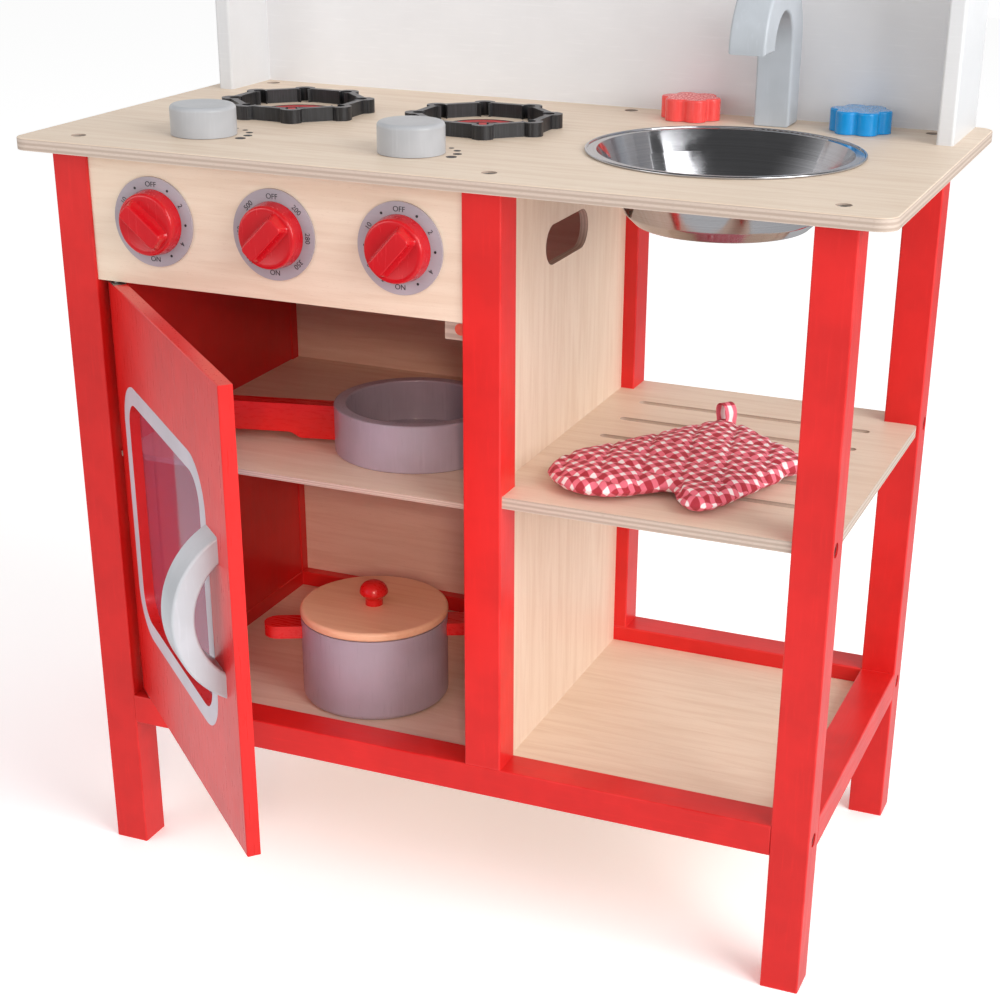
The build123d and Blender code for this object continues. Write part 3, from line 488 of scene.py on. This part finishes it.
door_joint = next(joint for joint in frame["joints"] if joint["name"] == "door_hinge")
door_turn = math.radians(-door_joint["range_deg"][0])
dress("door_panel", painted_wood("red_door", RED, grain="Z", roughness=0.3, turn=door_turn, coat=0.4))
for name in ("faucet", "door_handle"):
    dress(name, painted_wood(f"grey_{name}", GREY, roughness=0.34, coat=0.35))
for name in ("hob_knob_left", "hob_knob_right"):
    dress(name, painted_wood(f"grey_{name}", KNOB_GREY, roughness=0.36, coat=0.3))
for name in ("pot_body", "pan_body"):
    dress(name, painted_wood(f"mauve_{name}", POT_GREY, roughness=0.3, coat=0.5))
for name in ("oven_knob_left", "oven_knob_middle", "oven_knob_right"):
    dress(name, painted_wood(f"gloss_{name}", KNOB_RED, roughness=0.22, coat=0.7))
for name in ("lid_knob", "pot_handles", "pan_handle"):
    dress(name, painted_wood(f"gloss_{name}", RED, grain="X", roughness=0.28, coat=0.5))
dress("tap_hot", painted_wood("gloss_tap_hot", TAP_RED, roughness=0.25, coat=0.6))
dress("tap_cold", painted_wood("gloss_tap_cold", BLUE, roughness=0.2, coat=0.8))
dress("pot_lid", birch("lid_wood", "X", "Z", base=LID_WOOD, dark=LID_DARK, vein=LID_VEIN))
for name in ("dial_left", "dial_middle", "dial_right"):
    dress(name, painted_wood(f"grey_{name}", DIAL_GREY, grain="X", roughness=0.45, coat=0.1))
for name in ("pan_support_left", "pan_support_right"):
    dress(name, black_stain(f"black_{name}"))
sink_low, sink_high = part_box("sink_bowl")
dress("sink_bowl", steel("sink_steel", centre=(sink_low + sink_high) / 2))
for name in ("worktop_bolts", "frame_bolts", "shelf_screws", "door_screws", "door_pivot_top",
             "door_pivot_bottom", "strike_plate"):
    dress(name, steel(f"zinc_{name}", colour=ZINC, roughness=0.32))
# The catch magnet's coral red is a painted reflection of the red door on its steel face
dress("catch_magnet", plain_print("magnet_door_reflection", MAGNET_DOOR_REFLECTION))
dress("door_pane", clear_pane("clear_pane"))

ink = plain_print("ink_black", INK)

# The dials' circle of marks, the height of their type and the size of their dots
DIAL_CIRCLE = 25 * MM
DIAL_TYPE = 4.9 * MM
DIAL_DOT = 0.9 * MM


def printed_text(name, words, place):
    """Flat lettering as a mesh, laid on a dial by a matrix."""
    curve = bpy.data.curves.new(name, type="FONT")
    curve.body = words
    curve.size = DIAL_TYPE
    curve.align_x = "CENTER"
    curve.align_y = "CENTER"
    curve.extrude = PRINT / 2
    holder = new_object(name + "_curve", curve)
    bpy.context.view_layer.update()
    shape = holder.evaluated_get(bpy.context.evaluated_depsgraph_get())
    mesh = bpy.data.meshes.new_from_object(shape)
    bpy.data.objects.remove(holder)
    mesh.transform(place)
    add_piece(name, mesh, ink, "stand")


def dial_prints(side, words):
    """The lettering and dots of one dial, clockwise from the top."""
    low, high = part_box(f"dial_{side}")
    centre = Vector(((low.x + high.x) / 2, low.y - PRINT / 2, (low.z + high.z) / 2))
    upright = Matrix.Rotation(math.pi / 2, 4, "X")
    for index, word in enumerate(words):
        turn = -2 * math.pi * index / len(words)
        spot = Vector((-DIAL_CIRCLE * math.sin(turn), 0, DIAL_CIRCLE * math.cos(turn)))
        if word == ".":
            def lift(x, y, level, spot=spot):
                return centre + spot + Vector((x, PRINT / 2 - level, y))
            dot = mesh_from("dot", flat_disc(circle(DIAL_DOT, 20), lift, PRINT))
            add_piece(f"dial_{side}_dot_{index}", dot, ink, "stand")
            continue
        lean = 0.0 if word.isalpha() else turn
        place = Matrix.Translation(centre + spot) @ Matrix.Rotation(-lean, 4, "Y") @ upright
        printed_text(f"dial_{side}_mark_{index}", word, place)


hob_words = ("OFF", ".", "2", ".", "4", ".", "ON", ".", "8", ".", "10", ".")
oven_words = ("OFF", "200", "280", "350", "ON", "400", "450", "500")
dial_prints("left", hob_words)
dial_prints("middle", oven_words)
dial_prints("right", hob_words)


def on_worktop(centre):
    """Places plan coordinates about a centre on the worktop."""
    def lift(x, y, level):
        return Vector((centre[0] + x, centre[1] + y, worktop_level + CLEAR + level))
    return lift


def middle_of(name):
    """The middle of a node in plan."""
    low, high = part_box(name)
    return (low.x + high.x) / 2, (low.y + high.y) / 2


# Growing dots beside each hob knob: angles in degrees, sizes across in millimetres
dot_circle = 30.5 * MM
dot_angles = (72.5, 55.5, 35.5, 14.0, -7.0)
dot_sizes = (1.4, 3.6, 4.8, 6.0, 7.2)
for side in ("left", "right"):
    centre = middle_of(f"hob_knob_{side}")
    for index, (angle, size) in enumerate(zip(dot_angles, dot_sizes)):
        x = dot_circle * math.cos(math.radians(angle))
        y = dot_circle * math.sin(math.radians(angle))
        lift = on_worktop((centre[0] + x, centre[1] + y))
        mesh = mesh_from("dot", flat_disc(circle(size / 2 * MM, 32), lift, PRINT))
        add_piece(f"hob_{side}_dot_{index}", mesh, ink, "stand")

# Printed hot plates under the pan supports
hot_red = plain_print("hot_plate_red", HOT_RED)
plate_radius = 27.5 * MM
plate_bands = ((30, 27.3), (19, 16.5))
plate_steps = 96
band_rise = 1.6
for side in ("left", "right"):
    lift = on_worktop(middle_of(f"pan_support_{side}"))
    disc = mesh_from("hot_disc", flat_disc(circle(plate_radius, plate_steps), lift, PRINT))
    add_piece(f"hot_plate_{side}_red", disc, hot_red, "stand")
    for index, band_radii in enumerate(plate_bands):
        def raised(x, y, level, lift=lift):
            return lift(x, y, level * band_rise)
        outer, inner = (circle(radius * MM, plate_steps) for radius in band_radii)
        band = mesh_from("hot_ring", flat_band(outer, inner, raised, PRINT))
        add_piece(f"hot_plate_{side}_ring_{index}", band, ink, "stand")

# A faint tick low on the side of the left hob knob
knob_low, knob_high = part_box("hob_knob_left")
knob_radius = (knob_high.x - knob_low.x) / 2
tick_turn = math.radians(-31)
tick_from_foot = 5 * MM


def on_knob(u, v, level):
    """Places coordinates round the knob and up from its foot."""
    x, y = middle_of("hob_knob_left")
    angle = tick_turn + u / knob_radius
    reach = knob_radius + CLEAR + level
    level_z = knob_low.z + tick_from_foot + v
    return Vector((x + reach * math.cos(angle), y + reach * math.sin(angle), level_z))


tick_grey = plain_print("tick_grey", TICK_GREY)
tick_outline = rounded_rectangle(0.6 * MM, 6 * MM, 0.25 * MM, 4)
tick = mesh_from("tick", flat_disc(tick_outline, on_knob, 0.1 * MM))
add_piece("hob_left_tick", tick, tick_grey, "hob_knob_left_body")

# The painted ring round the door's window, on the outer face of the open door
pivot = Vector(door_joint["pos_m"])
along = Vector((math.cos(door_turn), -math.sin(door_turn), 0))
outward = Vector((-math.sin(door_turn), -math.cos(door_turn), 0))
pane_low, pane_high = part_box("door_pane")
window_level = (pane_low.z + pane_high.z) / 2
window_from_pivot = 112 * MM
half_thickness = 4.6 * MM
ring_grey = painted_wood("ring_grey", RING_GREY, roughness=0.4, coat=0.2)


def on_door(x, y, level):
    """Places window coordinates on the door's outer face."""
    foot = Vector(pivot[:2] + (0,)) + along * (window_from_pivot + x)
    return foot + outward * (half_thickness + level) + Vector((0, 0, window_level + y))


window_outer = rounded_rectangle(204 * MM, 190 * MM, 33 * MM, 16)
window_inner = rounded_rectangle(178.4 * MM, 164.4 * MM, 20.2 * MM, 16)
ring = mesh_from("window_ring", flat_band(window_outer, window_inner, on_door, PRINT))
add_piece("window_ring", ring, ring_grey, "door")


# The mitt: its cuff's middle, the way its fingers point, and the shelf under it
cuff = Vector((193.8 * MM, 11.4 * MM + legs_middle, 0))
mitt_way = math.radians(229.7)
fingers = Vector((math.cos(mitt_way), math.sin(mitt_way), 0))
thumbward = Vector((-math.sin(mitt_way), math.cos(mitt_way), 0))
mitt_low, mitt_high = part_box("oven_mitt")
shelf_level = mitt_low.z
seam_level = shelf_level + 8.5 * MM

# The flat pouch that is blown up, and how hard and how far
POUCH_VOXEL = 4 * MM
PRESSURE = 4.0
FARTHEST = 7 * MM
SIM_FRAMES = 20

# Quilting lines, the seam's band and the open cuff
QUILT = 27 * MM
QUILT_TURN = math.radians(52)
STITCH_WIDTH = 2.0 * MM
SEAM_BAND = 1.6 * MM
MOUTH_HALF_WIDTH = 46 * MM
MOUTH_HALF_HEIGHT = 5 * MM
MOUTH_EDGE = 7 * MM

# Depths and heights in millimetres
POUCH_INSET = 1.5
POUCH_THICKNESS = 12
STITCH_ABOVE = 1.9
STITCH_BELOW = 0.5
SEAM_RISE = 1.3
MOUTH_DEPTH = 16

cloth = gingham("gingham", 8.6 * MM, mitt_way)


def on_mitt(point):
    """How far a point lies along the fingers and out toward the thumb."""
    offset = point - cuff
    return offset.dot(fingers), offset.dot(thumbward)


def stitched(along, out):
    """From 0 between the quilting lines to 1 on one."""
    deepest = 0.0
    for turn in (QUILT_TURN, -QUILT_TURN):
        across = along * math.sin(turn) + out * math.cos(turn)
        phase = (across / QUILT + 0.5) % 1.0 - 0.5
        deepest = max(deepest, math.exp(-(phase * QUILT / STITCH_WIDTH) ** 2))
    return deepest


def remeshed(piece):
    """Replace a piece's mesh by an even one of small squares."""
    remesh = piece.modifiers.new("even", "REMESH")
    remesh.mode = "VOXEL"
    remesh.voxel_size = POUCH_VOXEL
    remesh.use_smooth_shade = True
    applied(piece)


def applied(piece):
    """Keep the shape that the modifiers give, and drop them."""
    shape = piece.evaluated_get(bpy.context.evaluated_depsgraph_get())
    mesh = bpy.data.meshes.new_from_object(shape)
    piece.modifiers.clear()
    piece.data = mesh


def swollen(piece):
    """Blow a piece up from inside while its seam stays where it is."""
    seam = piece.vertex_groups.new(name="seam")
    held = [v.index for v in piece.data.vertices
            if abs(v.co.z - seam_level) < SEAM_BAND and abs(v.normal.z) < 0.8]
    seam.add(held, 1.0, "REPLACE")
    before = [v.co.copy() for v in piece.data.vertices]
    sim = piece.modifiers.new("swell", "CLOTH")
    sim.settings.quality = 5
    sim.settings.mass = 0.15
    sim.settings.tension_stiffness = 12
    sim.settings.compression_stiffness = 12
    sim.settings.bending_stiffness = 0.6
    sim.settings.use_pressure = True
    sim.settings.uniform_pressure_force = PRESSURE
    sim.settings.effector_weights.gravity = 0
    sim.settings.vertex_group_mass = "seam"
    sim.point_cache.frame_start = 1
    sim.point_cache.frame_end = SIM_FRAMES
    for frame_number in range(1, SIM_FRAMES + 1):
        bpy.context.scene.frame_set(frame_number)
    applied(piece)
    for vertex, start in zip(piece.data.vertices, before):
        move = vertex.co - start
        if move.length > FARTHEST:
            vertex.co = start + move.normalized() * FARTHEST


def sewn_mitt():
    """The mitt as quilted cloth: a seam round its middle and stitched diamonds."""
    mesh = nodes["oven_mitt"].data.copy()
    mitt = add_piece("mitt_cloth", mesh, cloth, "mitt")
    middle = sum((v.co for v in mesh.vertices), Vector()) / len(mesh.vertices)
    for vertex in mesh.vertices:
        inward = Vector((middle.x - vertex.co.x, middle.y - vertex.co.y, 0)).normalized()
        vertex.co += inward * POUCH_INSET * MM
        share = (vertex.co.z - mitt_low.z) / (mitt_high.z - mitt_low.z)
        vertex.co.z = seam_level + (share - 0.5) * POUCH_THICKNESS * MM
    remeshed(mitt)
    swollen(mitt)
    smooth = mitt.modifiers.new("smooth", "SUBSURF")
    smooth.levels = smooth.render_levels = 1
    applied(mitt)
    shape_mitt(mitt.data)
    only_material(mitt.data, cloth)
    mitt.data.shade_smooth()
    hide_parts("oven_mitt")


def shape_mitt(mesh):
    """Press in the stitching, raise the seam, open the cuff and add soft folds."""
    moved = []
    for vertex in mesh.vertices:
        point, normal = vertex.co.copy(), vertex.normal.copy()
        along, out = on_mitt(point)
        level = point.z - seam_level
        flat = abs(normal.z)
        depth = stitched(along, out) * (STITCH_ABOVE if normal.z > 0 else STITCH_BELOW) * MM
        point -= normal * depth * min(1.0, flat * 1.6)
        fold = noise.noise(Vector((along, out, 0)) * 42) * 1.1 * MM
        crease = noise.noise(Vector((along * 1.5, out, 7)) * 110) * 0.45 * MM
        if normal.z > 0:
            point += Vector((0, 0, fold + crease)) * min(1.0, flat * 1.4)
        ridge = math.exp(-(level / SEAM_BAND) ** 2) * (1 - flat)
        point += Vector((normal.x, normal.y, 0)) * ridge * SEAM_RISE * MM
        inside_cuff = MOUTH_HALF_WIDTH - abs(out)
        if along < MOUTH_EDGE and inside_cuff > 0 and abs(level) < MOUTH_HALF_HEIGHT:
            deep = math.cos(level / MOUTH_HALF_HEIGHT * math.pi / 2) * min(1.0, inside_cuff / (8 * MM))
            point += fingers * MOUTH_DEPTH * MM * deep * max(0.0, 1 - along / MOUTH_EDGE)
        point.z = max(point.z, shelf_level + 0.1 * MM)
        moved.append(point)
    for vertex, point in zip(mesh.vertices, moved):
        vertex.co = point


def ribbon_loop():
    """The hanging loop: one cloth ribbon, folded over and sewn into the seam."""
    foot = cuff + fingers * 9 * MM - thumbward * 47 * MM
    foot.z = seam_level
    width, thick, steps = 10 * MM, 1.3 * MM, 40
    half_foot, half_top, height = 3.4 * MM, 6.4 * MM, 17.2 * MM
    section = ((-1, -1), (-0.8, 0.9), (0, 0.7), (0.8, 0.9),
               (1, -1), (0.8, -1.1), (0, -1), (-0.8, -1.1))

    def path(share):
        """The ribbon's middle line, from one sewn end over to the other."""
        angle = math.pi * share
        side = -math.cos(angle)
        rise = math.sin(angle) ** 0.6
        spread = half_foot + (half_top - half_foot) * rise
        lean = 1.2 * MM * math.sin(share * 5)
        return foot + thumbward * side * spread + fingers * lean + Vector((0, 0, height * rise))

    def build(work):
        rows = []
        for i in range(steps + 1):
            share = i / steps
            here = path(share)
            ahead = (path(min(1.0, share + 0.01)) - path(max(0.0, share - 0.01))).normalized()
            across = (fingers - ahead * fingers.dot(ahead)).normalized()
            face = ahead.cross(across)
            row = []
            for x, y in section:
                row.append(work.verts.new(here + across * x * width / 2 + face * y * thick / 2))
            rows.append(row)
        for low, high in zip(rows, rows[1:]):
            for k in range(len(low)):
                m = (k + 1) % len(low)
                work.faces.new((low[k], low[m], high[m], high[k]))
        work.faces.new(rows[0][::-1])
        work.faces.new(rows[-1])
    mesh = mesh_from("loop", build)
    loop = add_piece("mitt_ribbon", mesh, cloth, "mitt")
    smooth = loop.modifiers.new("smooth", "SUBSURF")
    smooth.levels = smooth.render_levels = 2
    applied(loop)
    only_material(loop.data, cloth)
    loop.data.shade_smooth()
    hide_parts("mitt_loop")


sewn_mitt()
ribbon_loop()


# Floor, light and camera
FLOOR_SEEN = (1.34, 1.34, 1.34, 1)
FLOOR_BOUNCED = (0.9, 0.9, 0.9, 1)
SKY_LIGHT = 0.71
SKY_LOW = 0.85
SKY_HIGH = 0.10
SKY_RISE = {"From Min": 0.30, "From Max": 0.62, "To Min": SKY_LOW, "To Max": SKY_HIGH}
FLOOR_FADE = {"From Min": 0.5, "From Max": 2.0, "To Min": 0.75, "To Max": 0.25}
FLOOR_HALF = 6.0


def set_inputs(node, values):
    """Give a node's inputs their values by name."""
    for name, value in values.items():
        node.inputs[name].default_value = value


def aimed_lamp(name, kind, place, aim, power):
    """A new lamp that looks at a point; its own settings are left to the caller."""
    data = bpy.data.lights.new(name, kind)
    data.energy = power
    lamp = new_object(name, data)
    lamp.location = place
    lamp.rotation_euler = (Vector(aim) - Vector(place)).to_track_quat("-Z", "Y").to_euler()
    return data


def area_light(name, place, aim, size, power):
    """A soft flat lamp."""
    data = aimed_lamp(name, "AREA", place, aim, power)
    data.shape = "RECTANGLE"
    data.size, data.size_y = size


def spot_light(name, place, aim, cone, radius, power, colour):
    """A round lamp with a soft-edged cone in degrees."""
    data = aimed_lamp(name, "SPOT", place, aim, power)
    data.spot_size = math.radians(cone)
    data.spot_blend = 1.0
    data.shadow_soft_size = radius
    data.color = colour


def pale_floor():
    """A wide floor that looks white and keeps the soft shadows."""
    def build(work):
        corners = ((-1, -1), (1, -1), (1, 1), (-1, 1))
        work.faces.new([work.verts.new((x * FLOOR_HALF, y * FLOOR_HALF, 0)) for x, y in corners])
    mesh = mesh_from("floor", build)
    material = bpy.data.materials.new("floor_white")
    material.use_nodes = True
    tree = material.node_tree
    tree.nodes.remove(tree.nodes["Principled BSDF"])

    def diffuse(colour):
        """A matt shader of one colour."""
        made = tree.nodes.new("ShaderNodeBsdfDiffuse")
        made.inputs["Color"].default_value = colour
        return made.outputs[0]

    def mixed(factor, a, b):
        """Two shaders blended by a socket."""
        made = tree.nodes.new("ShaderNodeMixShader")
        for socket, source in zip(made.inputs, (factor, a, b)):
            tree.links.new(source, socket)
        return made.outputs[0]

    path = tree.nodes.new("ShaderNodeLightPath")
    bounced = diffuse(FLOOR_BOUNCED)
    seen = diffuse(FLOOR_SEEN)
    distance = tree.nodes.new("ShaderNodeVectorMath")
    distance.operation = "LENGTH"
    tree.links.new(tree.nodes.new("ShaderNodeTexCoord").outputs["Object"], distance.inputs[0])
    fade = tree.nodes.new("ShaderNodeMapRange")
    set_inputs(fade, FLOOR_FADE)
    tree.links.new(distance.outputs["Value"], fade.inputs["Value"])
    mirrored = tree.nodes.new("ShaderNodeEmission")
    tree.links.new(fade.outputs[0], mirrored.inputs["Strength"])
    shown = mixed(path.outputs["Is Glossy Ray"], bounced, mirrored.outputs[0])
    shown = mixed(path.outputs["Is Camera Ray"], shown, seen)
    tree.links.new(shown, tree.nodes["Material Output"].inputs["Surface"])
    mesh.materials.append(material)
    floor = new_object("floor", mesh)


def studio_world():
    """White to the camera, a soft sky for the light and a dimmer one in reflections."""
    world = bpy.data.worlds.new("studio")
    bpy.context.scene.world = world
    world.use_nodes = True
    world.cycles.sampling_method = "NONE"
    tree = world.node_tree
    sky = tree.nodes["Background"]
    path = tree.nodes.new("ShaderNodeLightPath")
    split = tree.nodes.new("ShaderNodeSeparateXYZ")
    tree.links.new(tree.nodes.new("ShaderNodeTexCoord").outputs["Generated"], split.inputs[0])
    height = tree.nodes.new("ShaderNodeMapRange")
    height.interpolation_type = "SMOOTHSTEP"
    set_inputs(height, SKY_RISE)
    tree.links.new(split.outputs["Z"], height.inputs["Value"])
    dim = tree.nodes.new("ShaderNodeMapRange")
    dim.inputs["To Min"].default_value = SKY_LIGHT
    tree.links.new(height.outputs[0], dim.inputs["To Max"])
    tree.links.new(path.outputs["Is Glossy Ray"], dim.inputs["Value"])
    tree.links.new(dim.outputs[0], sky.inputs["Strength"])
    white = tree.nodes.new("ShaderNodeBackground")
    white.inputs["Color"].default_value = (1, 1, 1, 1)
    sky.inputs["Color"].default_value = (1, 1, 1, 1)
    seen = tree.nodes.new("ShaderNodeMath")
    seen.operation = "MAXIMUM"
    tree.links.new(path.outputs["Is Camera Ray"], seen.inputs[0])
    tree.links.new(path.outputs["Is Transmission Ray"], seen.inputs[1])
    mix = tree.nodes.new("ShaderNodeMixShader")
    tree.links.new(seen.outputs[0], mix.inputs[0])
    tree.links.new(sky.outputs[0], mix.inputs[1])
    tree.links.new(white.outputs[0], mix.inputs[2])
    tree.links.new(mix.outputs[0], tree.nodes["World Output"].inputs["Surface"])


# The solved camera: millimetres about the leg frame's middle, radians, and pixels of the picture
CAMERA_PLACE = (504.278, -1210.769, 766.921)
CAMERA_TURNS = (0.371, -0.432, 0.015)
PICTURE = 1000
FOCAL = 1863.21
PICTURE_CENTRE = (551.857, 636.284)
SENSOR = 36


def photo_camera():
    """The camera solved from the photograph, placed about the leg frame."""
    spot = Vector(CAMERA_PLACE) * MM + Vector((0, legs_middle, 0))
    yaw, pitch, roll = CAMERA_TURNS
    ahead = Vector((-math.sin(yaw) * math.cos(pitch), math.cos(yaw) * math.cos(pitch), math.sin(pitch)))
    level = Vector((math.cos(yaw), math.sin(yaw), 0))
    upright = level.cross(ahead)
    side = math.cos(roll) * level + math.sin(roll) * upright
    top = -math.sin(roll) * level + math.cos(roll) * upright
    data = bpy.data.cameras.new("camera")
    data.sensor_width = SENSOR
    data.lens = SENSOR * FOCAL / PICTURE
    data.shift_x = -(PICTURE_CENTRE[0] - PICTURE / 2) / PICTURE
    data.shift_y = (PICTURE_CENTRE[1] - PICTURE / 2) / PICTURE
    data.clip_start = 0.05
    data.clip_end = 50
    camera = new_object("camera", data)
    turn = Matrix((side, top, -ahead)).transposed().to_4x4()
    camera.matrix_world = Matrix.Translation(spot) @ turn
    bpy.context.scene.camera = camera


pale_floor()
studio_world()
heart = (0, legs_middle, 0.3)
oven_heart = (-0.11, legs_middle - 0.02, 0.20)
area_light("key", (2.4, -0.9, 1.5), heart, (1.8, 1.8), 53)
area_light("side", (2.3, -0.5, 0.7), heart, (1.4, 1.2), 5)
area_light("left", (-1.6, -1.9, 0.9), heart, (1.2, 1.2), 9)
spot_light("oven", (0.80, -1.7, 1.0), oven_heart, 13.5, 0.12, 66, (1.0, 0.66, 0.55))
photo_camera()
bpy.context.scene.view_settings.view_transform = "Standard"
